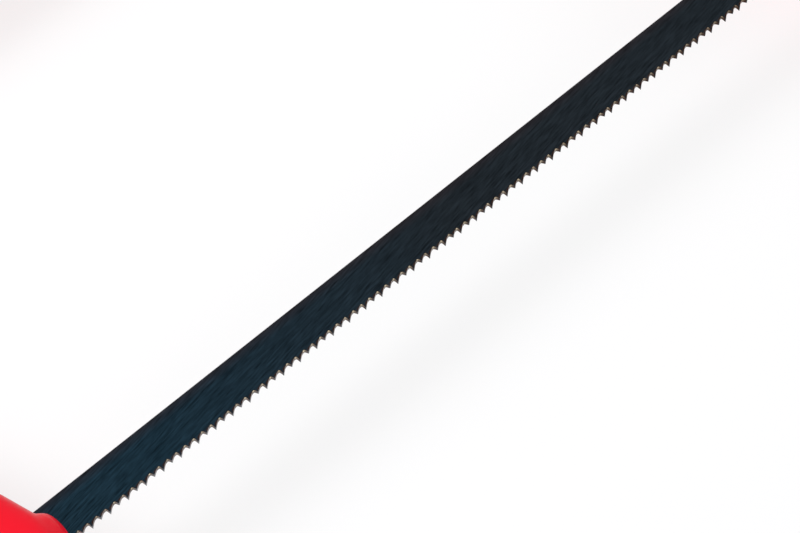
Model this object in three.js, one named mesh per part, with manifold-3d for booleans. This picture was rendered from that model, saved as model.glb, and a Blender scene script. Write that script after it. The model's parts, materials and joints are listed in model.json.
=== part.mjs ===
// Insulated junior hacksaw: steel bow moulded into red plastic, pinned 150 mm blade and tension screw.
// Millimetres. Saw frame: x runs along the blade away from the handle with 0 at the rear blade pin,
// y runs from the teeth to the back bar with 0 on the blade's axis,
// z is square to the blade with 0 in its middle.
import * as THREE from "three";
import { mergeVertices } from "three/addons/utils/BufferGeometryUtils.js";
import Module from "manifold-3d";

const wasm = await Module();
wasm.setup();

// Clearances
const GAP = 0.3; // between seated pieces, and around sliding ones
const FIT = 0.15; // around pins, bushes and other close fits
const OVERCUT = 1; // how far a cutting solid runs past the face that it cuts

// Facets of round pieces
const ROUND_SIDES = 24;
const HANDLE_SIDES = 36;
const ARC_STEPS = 8;
const SPRING_STEPS = 8; // to a turn
const SPRING_SIDES = 5;
const MERGE_DISTANCE = 1e-4; // corners closer than this become one
const TILT_ROUNDS = 20; // for the tilt at which the saw lies

// Blade with its cross pins
const BLADE_WIDTH = 6.35;
const BLADE_THICK = 0.65;
const BLADE_END = 2; // blade left beyond each pin
const PIN_SPAN = 146;
const PIN_RADIUS = 1;
const PIN_LENGTH = 5;
const TEETH_PER_INCH = 18;
const INCH = 25.4;
const TOOTH_DEPTH = 0.82;
const TOOTH_SET = 0.3; // how far each tip leans out of the blade's plane
const FIRST_TIP_DISTANCE = 8; // from the rear pin to the first tip
const LAST_TIP_DISTANCE = 8; // from the last tip to the front pin, at least
const FACE_RUN = 0.1; // how far the steep face leans in the lower half of its depth
const GULLET_FRONT = 0.17; // deepest point of the gullet, on the handle's side of the tip
const GULLET_BACK = 0.34; // end of the straight back of the tooth before it
const GULLET_RISE = 0.05;

// Bow: moulded cover
const ARM_DEPTH = 18;
const BOW_THICK = 14;
const EDGE_ROUND = 6;
const ARM_LEAN = THREE.MathUtils.degToRad(16.6);
const THROAT = 76; // from the tooth tips to the back bar
const CORNER_RADIUS = 24; // on the bar's centre line
const ARM_FOOT = 11; // how far the arms reach below the blade's axis
const REAR_ARM_FRONT = 11.33; // from the rear pin to the arm's front, on the blade's axis
const FRONT_ARM_BACK = 5.2; // from the front arm's inner side to the front pin
const LIP_HEIGHT = 0.64; // swelling around the blade's slit
const LIP_LEAN = THREE.MathUtils.degToRad(10);
const LIP_REACH = 1.35;
const LIP_HALF_WIDTH = 3.6;
const LIP_HALF_THICK = 3;
const COLLAR_START = 3; // behind the rear pin
const COLLAR_END = 16;
const COLLAR_ROOT_RADIUS = 8.2;
const COLLAR_RADIUS = 12.2;
const BOSS_STRAIGHT = 13; // ahead of the front pin
const BOSS_DOME = 8;
const BOSS_RADIUS = 8.4;

// Bow: steel core
const CORE_DEPTH = 8;
const CORE_THICK = 4;

// Tension rod and what guides it
const ROD_TRAVEL = 5;
const HEAD_RADIUS = 4;
const HEAD_FRONT = 3.6;
const HEAD_BACK = 17;
const SHANK_RADIUS = 2.5;
const ROD_SHORT = 0.9; // the rod's tail stops this far inside the threaded insert
const HOOK_SHIFT = 3; // from the pin's seat to its way in
const TUBE_WALL = 1.2;
const TUBE_FRONT = 5.4;
const NOSE_WALL_BACK = 9; // inner face of the wall that the blade comes out of
const POCKET_BACK = 2; // behind the rear pin
const POCKET_FRONT = 7;
const SEAT_PLACE = 38; // behind the rear pin
const SEAT_LENGTH = 2;
const SPRING_WIRE = 0.8;
const SPRING_RADIUS = 3.3; // of its wire's centre line
const SPRING_TURNS = 8;
const BUSH_LENGTH = 9;

// Front anchor
const ANCHOR_BACK = 3.4; // behind the front pin
const ANCHOR_FRONT = 13;
const FRONT_POCKET_BACK = 1; // behind the front pin
const FRONT_POCKET_FRONT = 7.6;

// Handle
const FLATTEN_RATIO = 0.82; // thickness of the handle over its height
const HANDLE_LENGTH = 101;
const HANDLE_FRONT_RADIUS = 12.2;
const GUARD_RADIUS = 16;
const GUARD_RISE = 5;
const GUARD_CREST = 2;
const GUARD_FALL = 8;
const NECK_RADIUS = 12.6;
const GRIP_WALL = 2.2; // room for the grip below the neck
const RECESS_LIP = 1; // hard rim left before each end of the grip
const FLARE_RISE = 9;
const FLARE_END = 6;
const HANDLE_END_RADIUS = 12.4;
const HANDLE_ARC_STEPS = 5;
const GRIP_SWELL = 2.6;
const GRIP_RIBS = 9;
const RIB_DEPTH = 0.7;
const RIB_STEPS = 4;
const COUNTERBORE_RADIUS = 9.1;
const COUNTERBORE_DEPTH = 4;
const RING_THICK = 1;
const RING_RADIUS = 7.6;
const RING_GROOVE = 0.5;
const RING_MOUTH = 3;
const TUBE_TAIL = 0.6; // tube left beyond the ring
const WASHER_THICK = 1.2;

// Knob
const KNOB_RADIUS = 11.4;
const KNOB_LOBES = 8;
const LOBE_HEIGHT = 0.9;
const KNOB_LENGTH = 22;
const KNOB_ROUND = 3;
const KNOB_ROUND_STEPS = 3;
const KNOB_POINTS = 64;
const HUB_RADIUS = 8;
const KNOB_FLOOR = 2; // wall ahead of the threaded insert
const INSERT_RADIUS = 4.5;
const INSERT_LENGTH = 12;
const PLUG_RADIUS = 6.4;
const PLUG_DEPTH = 6.6;
const PLUG_PROUD = 0.6;
const PLUG_CHAMFER = 0.5;

// Places worked out from the sizes above
const toothPitch = INCH / TEETH_PER_INCH;
const spineY = BLADE_WIDTH / 2;
const tipY = -BLADE_WIDTH / 2;
const slotHalf = BLADE_THICK / 2 + TOOTH_SET + GAP;
const pinRoom = PIN_RADIUS + GAP;
const pinHalf = PIN_LENGTH / 2;
const pocketHalf = pinHalf + GAP;
const armHalf = ARM_DEPTH / 2;
const barY = tipY + THROAT + armHalf;
const frontArmBackX = PIN_SPAN - FRONT_ARM_BACK;
const rearArmX = REAR_ARM_FRONT - armHalf / Math.cos(ARM_LEAN);
const frontArmX = frontArmBackX + armHalf / Math.cos(ARM_LEAN);
const footY = armHalf - ARM_FOOT;
const tubeBore = HEAD_RADIUS + GAP;
const tubeRadius = tubeBore + TUBE_WALL;
const bushRadius = tubeBore - FIT;
const rodBore = SHANK_RADIUS + FIT;
const handleFrontX = -COLLAR_END - GAP;
const handleEndX = handleFrontX - HANDLE_LENGTH;
const counterboreX = handleEndX + COUNTERBORE_DEPTH;
const ringX = counterboreX - GAP;
const tubeEndX = ringX - RING_THICK - TUBE_TAIL;
const washerX = tubeEndX - GAP;
const hubX = washerX - WASHER_THICK - GAP;
const knobX = handleEndX - GAP;
const insertX = knobX - KNOB_FLOOR;
const insertEndX = insertX - GAP - INSERT_LENGTH;
const knobEndX = knobX - KNOB_LENGTH;
const plugFloorX = knobEndX + PLUG_DEPTH;
const recessRadius = NECK_RADIUS - GRIP_WALL;
const gripStart = GUARD_RISE + GUARD_CREST + GUARD_FALL + RECESS_LIP;
const gripEnd = HANDLE_LENGTH - FLARE_END - GUARD_CREST - FLARE_RISE - RECESS_LIP;

// Helpers

function solid(geometry) {
  const bare = geometry.index ? geometry.toNonIndexed() : geometry;
  const positions = new THREE.BufferGeometry();
  positions.setAttribute("position", bare.getAttribute("position"));
  const merged = mergeVertices(positions, MERGE_DISTANCE);
  return new wasm.Manifold(new wasm.Mesh({
    numProp: 3,
    vertProperties: new Float32Array(merged.getAttribute("position").array),
    triVerts: new Uint32Array(merged.index.array),
  }));
}

function geometryOf(body) {
  const mesh = body.getMesh();
  const geometry = new THREE.BufferGeometry();
  geometry.setAttribute("position", new THREE.BufferAttribute(new Float32Array(mesh.vertProperties), 3));
  geometry.setIndex(new THREE.BufferAttribute(new Uint32Array(mesh.triVerts), 1));
  return geometry;
}

function join(...bodies) {
  return wasm.Manifold.union(bodies);
}

function cut(body, ...cutters) {
  return wasm.Manifold.difference([body, ...cutters]);
}

// A turned piece along x from a list of [x, radius] points, front end first, closed on the axis.
function turned(profile, sides = ROUND_SIDES) {
  const outline = profile.map(([x, radius]) => new THREE.Vector2(radius, x));
  const first = new THREE.Vector2(0, profile[0][0]);
  const last = new THREE.Vector2(0, profile[profile.length - 1][0]);
  const points = [first, ...outline.filter((point) => point.x > 0), last].reverse();
  return new THREE.LatheGeometry(points, sides).rotateZ(-Math.PI / 2);
}

function rod(radius, backX, frontX, sides = ROUND_SIDES) {
  return solid(turned([[frontX, radius], [backX, radius]], sides));
}

function ring(radius, bore, backX, frontX) {
  return cut(rod(radius, backX, frontX), rod(bore, backX - OVERCUT, frontX + OVERCUT));
}

function block([x0, x1], [y0, y1], [z0, z1]) {
  const box = new THREE.BoxGeometry(x1 - x0, y1 - y0, z1 - z0);
  box.translate((x0 + x1) / 2, (y0 + y1) / 2, (z0 + z1) / 2);
  return solid(box);
}

function flattened(geometry) {
  return geometry.scale(1, 1, FLATTEN_RATIO);
}

// Outline of the bow in the blade's plane, half a width to each side of its centre line.
function bowOutline(half) {
  const rise = new THREE.Vector2(Math.sin(ARM_LEAN), Math.cos(ARM_LEAN));
  const tangent = CORNER_RADIUS * Math.tan((Math.PI / 2 + ARM_LEAN) / 2);
  const rearTopX = rearArmX - barY * Math.tan(ARM_LEAN);
  const frontTopX = frontArmX + barY * Math.tan(ARM_LEAN);
  const rearCorner = [rearTopX + tangent, barY - CORNER_RADIUS];
  const frontCorner = [frontTopX - tangent, barY - CORNER_RADIUS];
  const rearFoot = [rearArmX - footY * Math.tan(ARM_LEAN), footY];
  const frontFoot = [frontArmX + footY * Math.tan(ARM_LEAN), footY];
  const up = Math.PI / 2;
  const outer = CORNER_RADIUS + half;
  const inner = CORNER_RADIUS - half;
  const shape = new THREE.Shape();
  shape.moveTo(rearFoot[0] - half * rise.y, rearFoot[1] - half * rise.x);
  shape.absarc(...rearCorner, outer, Math.PI + ARM_LEAN, up, true);
  shape.absarc(...frontCorner, outer, up, -ARM_LEAN, true);
  shape.absarc(...frontFoot, half, -ARM_LEAN, -ARM_LEAN - Math.PI, true);
  shape.absarc(...frontCorner, inner, -ARM_LEAN, up, false);
  shape.absarc(...rearCorner, inner, up, Math.PI + ARM_LEAN, false);
  shape.absarc(...rearFoot, half, ARM_LEAN, ARM_LEAN - Math.PI, true);
  return shape;
}

function bowPlate(half, thick) {
  const plate = new THREE.ExtrudeGeometry(bowOutline(half), {
    depth: thick,
    bevelEnabled: false,
    curveSegments: ARC_STEPS,
  });
  return solid(plate.translate(0, 0, -thick / 2));
}

// The steel core, or the channel for it: cut off level above the guide tube and the front anchor.
function coreSolid(extra, rearEndY, frontEndY) {
  const thick = CORE_THICK + 2 * extra;
  const reach = ARM_FOOT + OVERCUT;
  const middle = (rearArmX + frontArmX) / 2;
  const far = barY + PIN_SPAN;
  return cut(
    bowPlate(CORE_DEPTH / 2 + extra, thick),
    block([-far, middle], [-reach, rearEndY], [-thick, thick]),
    block([middle, frontArmX + far], [-reach, frontEndY], [-thick, thick]),
  );
}

function lip(armFrontX, facing) {
  const bump = new THREE.SphereGeometry(1, ROUND_SIDES, ROUND_SIDES / 2);
  bump.scale(LIP_REACH, LIP_HALF_WIDTH, LIP_HALF_THICK);
  const sink = LIP_HEIGHT - LIP_REACH;
  bump.rotateZ(facing * LIP_LEAN);
  bump.translate(armFrontX + facing * sink * Math.cos(LIP_LEAN), sink * Math.sin(LIP_LEAN), 0);
  return solid(bump);
}

// The bow cover before anything is cut out of it.
function coverBlank() {
  const bow = new THREE.ExtrudeGeometry(bowOutline(armHalf - EDGE_ROUND), {
    depth: BOW_THICK - 2 * EDGE_ROUND,
    bevelSize: EDGE_ROUND,
    bevelThickness: EDGE_ROUND,
    bevelSegments: ARC_STEPS / 2,
    curveSegments: ARC_STEPS,
  });
  bow.translate(0, 0, EDGE_ROUND - BOW_THICK / 2);
  const collar = [];
  const boss = [];
  for (let step = 0; step <= ARC_STEPS; step += 1) {
    const share = step / ARC_STEPS;
    const collarRadius = COLLAR_ROOT_RADIUS + (COLLAR_RADIUS - COLLAR_ROOT_RADIUS) * share * share;
    collar.push([-COLLAR_START - (COLLAR_END - COLLAR_START) * share, collarRadius]);
    const angle = (Math.PI / 2) * share;
    boss.push([PIN_SPAN + BOSS_STRAIGHT + BOSS_DOME * Math.cos(angle), BOSS_RADIUS * Math.sin(angle)]);
  }
  boss.push([PIN_SPAN, BOSS_RADIUS]);
  return join(
    solid(bow),
    solid(flattened(turned(collar, HANDLE_SIDES))),
    solid(flattened(turned(boss, HANDLE_SIDES))),
    lip(REAR_ARM_FRONT, 1),
    lip(frontArmBackX, -1),
  );
}

const rearPocketX = [-POCKET_BACK, POCKET_FRONT];
const frontPocketX = [PIN_SPAN - FRONT_POCKET_BACK, PIN_SPAN + FRONT_POCKET_FRONT];
const pocketY = [-ARM_FOOT - OVERCUT, 0];

function pocket(spanX) {
  return block(spanX, pocketY, [-pocketHalf, pocketHalf]);
}

// The pin's hooked way in: a seat along the blade's axis, and a gate down to the tooth side.
function hook([seatX0, seatX1], [gateX0, gateX1]) {
  const through = HEAD_RADIUS + OVERCUT;
  return join(
    block([seatX0, seatX1], [-pinRoom, pinRoom], [-through, through]),
    block([gateX0, gateX1], [-through, pinRoom], [-through, through]),
  );
}

// Pieces

function blade() {
  const toothSpan = PIN_SPAN - FIRST_TIP_DISTANCE - LAST_TIP_DISTANCE;
  const lastIndex = Math.floor(toothSpan / toothPitch);
  const rootY = tipY + TOOTH_DEPTH;
  const outline = new THREE.Shape();
  outline.moveTo(-BLADE_END, spineY);
  outline.lineTo(-BLADE_END, tipY);
  outline.lineTo(FIRST_TIP_DISTANCE - toothPitch, tipY);
  for (let index = 0; index <= lastIndex; index += 1) {
    const tipX = FIRST_TIP_DISTANCE + index * toothPitch;
    outline.lineTo(tipX - GULLET_BACK, rootY - GULLET_RISE);
    outline.lineTo(tipX - GULLET_FRONT, rootY);
    outline.lineTo(tipX - FACE_RUN, tipY + TOOTH_DEPTH / 2);
    outline.lineTo(tipX, tipY);
  }
  outline.lineTo(PIN_SPAN + BLADE_END, tipY);
  outline.lineTo(PIN_SPAN + BLADE_END, spineY);
  for (const pinX of [0, PIN_SPAN]) {
    const hole = new THREE.Path();
    hole.absarc(pinX, 0, PIN_RADIUS + FIT, 0, 2 * Math.PI, true);
    outline.holes.push(hole);
  }
  const strip = new THREE.ExtrudeGeometry(outline, {
    depth: BLADE_THICK,
    bevelEnabled: false,
    curveSegments: ARC_STEPS,
  });
  strip.translate(0, 0, -BLADE_THICK / 2);
  const points = strip.getAttribute("position");
  for (let vertex = 0; vertex < points.count; vertex += 1) {
    const index = Math.round((points.getX(vertex) + FACE_RUN / 2 - FIRST_TIP_DISTANCE) / toothPitch);
    const share = (rootY - points.getY(vertex)) / TOOTH_DEPTH;
    if (index >= 0 && index <= lastIndex && share > 2 * GULLET_RISE / TOOTH_DEPTH) {
      const side = index % 2 === 0 ? 1 : -1;
      points.setZ(vertex, points.getZ(vertex) + side * TOOTH_SET * share);
    }
  }
  return strip;
}

function bladePin() {
  return new THREE.CylinderGeometry(PIN_RADIUS, PIN_RADIUS, PIN_LENGTH, ROUND_SIDES / 2).rotateX(Math.PI / 2);
}

function bowCore() {
  return geometryOf(coreSolid(0, tubeRadius + GAP, HEAD_RADIUS + GAP));
}

function bowCover() {
  const anchorEnd = PIN_SPAN + ANCHOR_FRONT;
  const slit = [-slotHalf, slotHalf];
  const slitY = [-ARM_FOOT - OVERCUT, spineY + GAP];
  const noseX = REAR_ARM_FRONT + LIP_HEIGHT + ARM_FOOT;
  return geometryOf(cut(
    coverBlank(),
    coreSolid(GAP, tubeRadius, HEAD_RADIUS),
    rod(tubeRadius + GAP, -COLLAR_END - OVERCUT, TUBE_FRONT + GAP),
    rod(tubeBore, 0, NOSE_WALL_BACK),
    rod(tubeBore, PIN_SPAN - ANCHOR_BACK - GAP, anchorEnd + GAP),
    pocket(rearPocketX),
    pocket(frontPocketX),
    block([POCKET_FRONT - OVERCUT, noseX], slitY, slit),
    block([frontArmBackX - LIP_HEIGHT - ARM_FOOT, frontPocketX[0] + OVERCUT], slitY, slit),
  ));
}

// A snap cap that closes a pocket flush with the bow.
function bladeCap([backX, frontX], topY) {
  const half = pocketHalf - GAP;
  const filling = block([backX + GAP, frontX - GAP], [pocketY[0], topY], [-half, half]);
  return geometryOf(wasm.Manifold.intersection([coverBlank(), filling]));
}

function guideTube() {
  const groove = ring(tubeRadius + OVERCUT, tubeRadius - RING_GROOVE, ringX - RING_THICK - FIT, ringX + FIT);
  return geometryOf(cut(
    ring(tubeRadius, tubeBore, tubeEndX, TUBE_FRONT),
    pocket([-POCKET_BACK, TUBE_FRONT + OVERCUT]),
    groove,
  ));
}

function drawRod() {
  const body = solid(turned([
    [HEAD_FRONT, HEAD_RADIUS],
    [-HEAD_BACK, HEAD_RADIUS],
    [-HEAD_BACK, SHANK_RADIUS],
    [insertEndX + ROD_SHORT, SHANK_RADIUS],
  ]));
  const through = HEAD_RADIUS + OVERCUT;
  const slotBack = -BLADE_END - HOOK_SHIFT - GAP;
  return geometryOf(cut(
    body,
    block([slotBack, HEAD_FRONT + OVERCUT], [-through, through], [-slotHalf, slotHalf]),
    hook([-HOOK_SHIFT, pinRoom], [-HOOK_SHIFT - pinRoom, -HOOK_SHIFT + pinRoom]),
  ));
}

function frontAnchor() {
  const through = HEAD_RADIUS + OVERCUT;
  const slotFront = PIN_SPAN + BLADE_END + ROD_TRAVEL + GAP;
  const gateX = PIN_SPAN + ROD_TRAVEL;
  const backX = PIN_SPAN - ANCHOR_BACK;
  return geometryOf(cut(
    rod(HEAD_RADIUS, backX, PIN_SPAN + ANCHOR_FRONT),
    block([backX - OVERCUT, slotFront], [-through, through], [-slotHalf, slotHalf]),
    hook([PIN_SPAN - pinRoom, gateX], [gateX - pinRoom, gateX + pinRoom]),
  ));
}

class Helix extends THREE.Curve {
  constructor(startX, endX) {
    super();
    this.startX = startX;
    this.endX = endX;
  }

  getPoint(share, target = new THREE.Vector3()) {
    const angle = 2 * Math.PI * SPRING_TURNS * share;
    const x = THREE.MathUtils.lerp(this.startX, this.endX, share);
    return target.set(x, SPRING_RADIUS * Math.cos(angle), SPRING_RADIUS * Math.sin(angle));
  }
}

function returnSpring() {
  const end = SPRING_WIRE / 2 + GAP;
  const path = new Helix(-HEAD_BACK - end, -SEAT_PLACE + end);
  const wire = new THREE.Shape();
  for (let side = 0; side < SPRING_SIDES; side += 1) {
    const angle = (2 * Math.PI * side) / SPRING_SIDES;
    const point = [(SPRING_WIRE / 2) * Math.cos(angle), (SPRING_WIRE / 2) * Math.sin(angle)];
    if (side === 0) {
      wire.moveTo(...point);
    } else {
      wire.lineTo(...point);
    }
  }
  wire.closePath();
  const steps = SPRING_TURNS * SPRING_STEPS;
  const centres = path.getPoints(steps);
  let least = Infinity;
  for (let first = 0; first <= steps; first += 1) {
    for (let second = first + SPRING_STEPS / 2; second <= steps; second += 1) {
      least = Math.min(least, centres[first].distanceTo(centres[second]) - SPRING_WIRE);
    }
  }
  console.log(`return_spring: least gap to itself ${least.toFixed(2)} mm`);
  return new THREE.ExtrudeGeometry(wire, { steps, bevelEnabled: false, extrudePath: path });
}

function springSeat() {
  return geometryOf(ring(bushRadius, SHANK_RADIUS + GAP, -SEAT_PLACE - SEAT_LENGTH, -SEAT_PLACE));
}

function rearBush() {
  return geometryOf(ring(bushRadius, rodBore, tubeEndX, tubeEndX + BUSH_LENGTH));
}

function retainingRing() {
  const bore = tubeRadius - RING_GROOVE + FIT;
  const mouth = block(
    [ringX - RING_THICK - OVERCUT, ringX + OVERCUT],
    [0, RING_RADIUS + OVERCUT],
    [-RING_MOUTH / 2, RING_MOUTH / 2],
  );
  return geometryOf(cut(ring(RING_RADIUS, bore, ringX - RING_THICK, ringX), mouth));
}

function thrustWasher() {
  const radius = COUNTERBORE_RADIUS - GAP;
  return geometryOf(ring(radius, SHANK_RADIUS + GAP, washerX - WASHER_THICK, washerX));
}

// Points of a rounded rise or fall along the handle, in distance from its front face.
function swell(startAt, endAt, fromRadius, toRadius) {
  const points = [];
  for (let step = 0; step <= HANDLE_ARC_STEPS; step += 1) {
    const share = step / HANDLE_ARC_STEPS;
    const eased = (1 - Math.cos(Math.PI * share)) / 2;
    points.push([startAt + (endAt - startAt) * share, fromRadius + (toRadius - fromRadius) * eased]);
  }
  return points;
}

function atHandle(points) {
  return points.map(([distance, radius]) => [handleFrontX - distance, radius]);
}

function handleBody() {
  const guardTop = GUARD_RISE + GUARD_CREST;
  const flareTop = gripEnd + RECESS_LIP + FLARE_RISE;
  const profile = atHandle([
    ...swell(0, GUARD_RISE, HANDLE_FRONT_RADIUS, GUARD_RADIUS),
    ...swell(guardTop, guardTop + GUARD_FALL, GUARD_RADIUS, NECK_RADIUS),
    [gripStart, NECK_RADIUS],
    [gripStart, recessRadius],
    [gripEnd, recessRadius],
    [gripEnd, NECK_RADIUS],
    ...swell(gripEnd + RECESS_LIP, flareTop, NECK_RADIUS, GUARD_RADIUS),
    ...swell(flareTop + GUARD_CREST, HANDLE_LENGTH, GUARD_RADIUS, HANDLE_END_RADIUS),
  ]);
  return geometryOf(cut(
    solid(flattened(turned(profile, HANDLE_SIDES))),
    rod(tubeRadius + GAP, handleEndX - OVERCUT, handleFrontX + OVERCUT),
    rod(COUNTERBORE_RADIUS, handleEndX - OVERCUT, counterboreX),
  ));
}

// A barrel with rings, drawn as a closed profile turned about the handle's axis.
function gripSleeve() {
  const start = gripStart + GAP;
  const length = gripEnd - GAP - start;
  const profile = [];
  const steps = GRIP_RIBS * RIB_STEPS;
  for (let step = 0; step <= steps; step += 1) {
    const share = step / steps;
    const barrel = NECK_RADIUS + GRIP_SWELL * Math.sin(Math.PI * share) ** 2;
    const groove = RIB_DEPTH * (1 - Math.cos(2 * Math.PI * GRIP_RIBS * share)) / 2;
    profile.push([start + length * share, barrel - groove]);
  }
  const inner = recessRadius + GAP;
  const closed = atHandle([[start, inner], ...profile, [start + length, inner], [start, inner]]);
  const points = closed.map(([x, radius]) => new THREE.Vector2(radius, x)).reverse();
  return flattened(new THREE.LatheGeometry(points, HANDLE_SIDES).rotateZ(-Math.PI / 2));
}

function tensionKnob() {
  const outline = new THREE.Shape();
  for (let point = 0; point < KNOB_POINTS; point += 1) {
    const angle = (2 * Math.PI * point) / KNOB_POINTS;
    const radius = KNOB_RADIUS - KNOB_ROUND + LOBE_HEIGHT * Math.cos(KNOB_LOBES * angle);
    const place = [radius * Math.cos(angle), radius * Math.sin(angle)];
    if (point === 0) {
      outline.moveTo(...place);
    } else {
      outline.lineTo(...place);
    }
  }
  outline.closePath();
  const grip = new THREE.ExtrudeGeometry(outline, {
    depth: KNOB_LENGTH - 2 * KNOB_ROUND,
    bevelSize: KNOB_ROUND,
    bevelThickness: KNOB_ROUND,
    bevelSegments: KNOB_ROUND_STEPS,
  });
  grip.translate(0, 0, KNOB_ROUND).rotateY(-Math.PI / 2).translate(knobX, 0, 0);
  return geometryOf(cut(
    join(solid(grip), rod(HUB_RADIUS, knobX - KNOB_ROUND, hubX)),
    rod(SHANK_RADIUS + GAP, insertX - OVERCUT, hubX + OVERCUT),
    rod(INSERT_RADIUS + FIT, plugFloorX - OVERCUT, insertX),
    rod(PLUG_RADIUS + FIT, knobEndX - OVERCUT, plugFloorX),
  ));
}

function knobInsert() {
  return geometryOf(ring(INSERT_RADIUS, rodBore, insertEndX, insertX - GAP));
}

function knobCap() {
  const endX = knobEndX - PLUG_PROUD;
  return turned([
    [plugFloorX - GAP, PLUG_RADIUS],
    [endX + PLUG_CHAMFER, PLUG_RADIUS],
    [endX, PLUG_RADIUS - PLUG_CHAMFER],
  ]);
}

// Finishes

function finish(color, roughness, metalness) {
  return () => new THREE.MeshStandardMaterial({ color, roughness, metalness });
}

const redPlastic = finish("#f72132", 0.28, 0);
const softRed = finish("#d91d2c", 0.7, 0);
const bluedSteel = finish("#1c2b33", 0.4, 0.9);
const brightSteel = finish("#9a9ea2", 0.35, 1);
const springSteel = finish("#74787c", 0.4, 1);
const brass = finish("#b5924c", 0.35, 1);
const plainNylon = finish("#d8d3c3", 0.6, 0);

// Assembly

const saw = new THREE.Group();

function add(name, geometry, material, x = 0) {
  const mesh = new THREE.Mesh(geometry, material());
  mesh.name = name;
  mesh.position.x = x;
  saw.add(mesh);
}

add("blade", blade(), bluedSteel);
add("rear_blade_pin", bladePin(), brightSteel, 0);
add("front_blade_pin", bladePin(), brightSteel, PIN_SPAN);
add("bow_core", bowCore(), brightSteel);
add("bow_cover", bowCover(), redPlastic);
add("rear_blade_cap", bladeCap(rearPocketX, -tubeRadius - GAP), redPlastic);
add("front_blade_cap", bladeCap(frontPocketX, -HEAD_RADIUS - GAP), redPlastic);
add("front_anchor", frontAnchor(), brightSteel);
add("guide_tube", guideTube(), brightSteel);
add("draw_rod", drawRod(), brightSteel);
add("return_spring", returnSpring(), springSteel);
add("spring_seat", springSeat(), brass);
add("rear_bush", rearBush(), brass);
add("retaining_ring", retainingRing(), springSteel);
add("thrust_washer", thrustWasher(), plainNylon);
add("handle_body", handleBody(), redPlastic);
add("grip_sleeve", gripSleeve(), softRed);
add("tension_knob", tensionKnob(), redPlastic);
add("knob_insert", knobInsert(), brass);
add("knob_cap", knobCap(), redPlastic);

// The saw lies on its side: the handle's guard and flare and the back bar all touch the table,
// so the blade tilts. Each round starts from the tilt of the one before.
function restTilt() {
  let tilt = 0;
  for (let round = 0; round < TILT_ROUNDS; round += 1) {
    const handleHalf = GUARD_RADIUS * FLATTEN_RATIO;
    const handleDrop = Math.hypot(GUARD_RADIUS * Math.sin(tilt), handleHalf * Math.cos(tilt));
    const edgeAcross = (armHalf - EDGE_ROUND) * Math.sin(tilt);
    const edgeDown = (BOW_THICK / 2 - EDGE_ROUND) * Math.cos(tilt);
    const barDrop = edgeAcross + edgeDown + EDGE_ROUND;
    tilt = Math.asin((handleDrop - barDrop) / barY);
  }
  return tilt;
}

saw.rotation.x = -restTilt();
saw.updateMatrixWorld(true);
const bounds = new THREE.Box3().setFromObject(saw, true);
const middle = bounds.getCenter(new THREE.Vector3());
saw.position.set(-middle.x, -middle.y, -bounds.min.z);

const hacksaw = new THREE.Group();
hacksaw.add(saw);

export default hacksaw;
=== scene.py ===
"""Insulated junior hacksaw: smooth mouldings, a set and ground blade, and the photograph's view of it."""

import json
import math

import bmesh
import bpy
import numpy as np
from bpy.props import FloatProperty, FloatVectorProperty, IntProperty, PointerProperty
from mathutils import Matrix, Vector


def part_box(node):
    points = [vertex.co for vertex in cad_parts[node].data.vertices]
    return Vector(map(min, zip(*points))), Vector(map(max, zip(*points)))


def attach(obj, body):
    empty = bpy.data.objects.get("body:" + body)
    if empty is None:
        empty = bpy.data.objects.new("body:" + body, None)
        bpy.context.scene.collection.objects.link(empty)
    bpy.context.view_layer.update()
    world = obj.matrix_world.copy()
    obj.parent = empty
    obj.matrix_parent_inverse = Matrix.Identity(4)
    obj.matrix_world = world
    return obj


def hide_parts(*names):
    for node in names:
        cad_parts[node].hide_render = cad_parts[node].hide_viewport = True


bl_info = {
    "name": "Insulated hacksaw",
    "version": (1, 0, 0),
    "blender": (4, 5, 0),
    "location": "View3D > Sidebar > Hacksaw",
    "description": "Dresses the packed solids of an insulated junior hacksaw and sets up its view",
    "category": "Object",
}

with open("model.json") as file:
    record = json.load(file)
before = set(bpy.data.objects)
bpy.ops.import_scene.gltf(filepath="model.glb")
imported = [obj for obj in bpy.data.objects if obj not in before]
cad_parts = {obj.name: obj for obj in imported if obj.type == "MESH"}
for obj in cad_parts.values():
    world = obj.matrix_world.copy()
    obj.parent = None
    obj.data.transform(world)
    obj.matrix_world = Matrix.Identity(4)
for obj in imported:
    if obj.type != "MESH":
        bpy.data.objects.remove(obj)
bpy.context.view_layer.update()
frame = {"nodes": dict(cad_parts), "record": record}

MM = 0.001
PICTURE_WIDTH = 800  # pixels


# Values and properties

def linear(code):
    """Turns an sRGB hex colour into linear red, green and blue."""
    parts = np.array([int(code[place:place + 2], 16) for place in (1, 3, 5)]) / 255
    curved = ((parts + 0.055) / 1.055) ** 2.4
    return tuple(np.where(parts <= 0.04045, parts / 12.92, curved).tolist())


def length(label, description, millimetres):
    """A size property, written in millimetres and kept in metres."""
    return FloatProperty(
        name=label, description=description, default=millimetres * MM,
        subtype="DISTANCE", unit="LENGTH", precision=5
    )


def angle(label, description, degrees):
    """An angle property, written in degrees and kept in radians."""
    return FloatProperty(
        name=label, description=description, default=math.radians(degrees), subtype="ANGLE", unit="ROTATION"
    )


def colour(label, description, code):
    """A colour property, written as sRGB hex."""
    return FloatVectorProperty(
        name=label, description=description, default=linear(code), subtype="COLOR", size=3, min=0, max=1
    )


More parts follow.
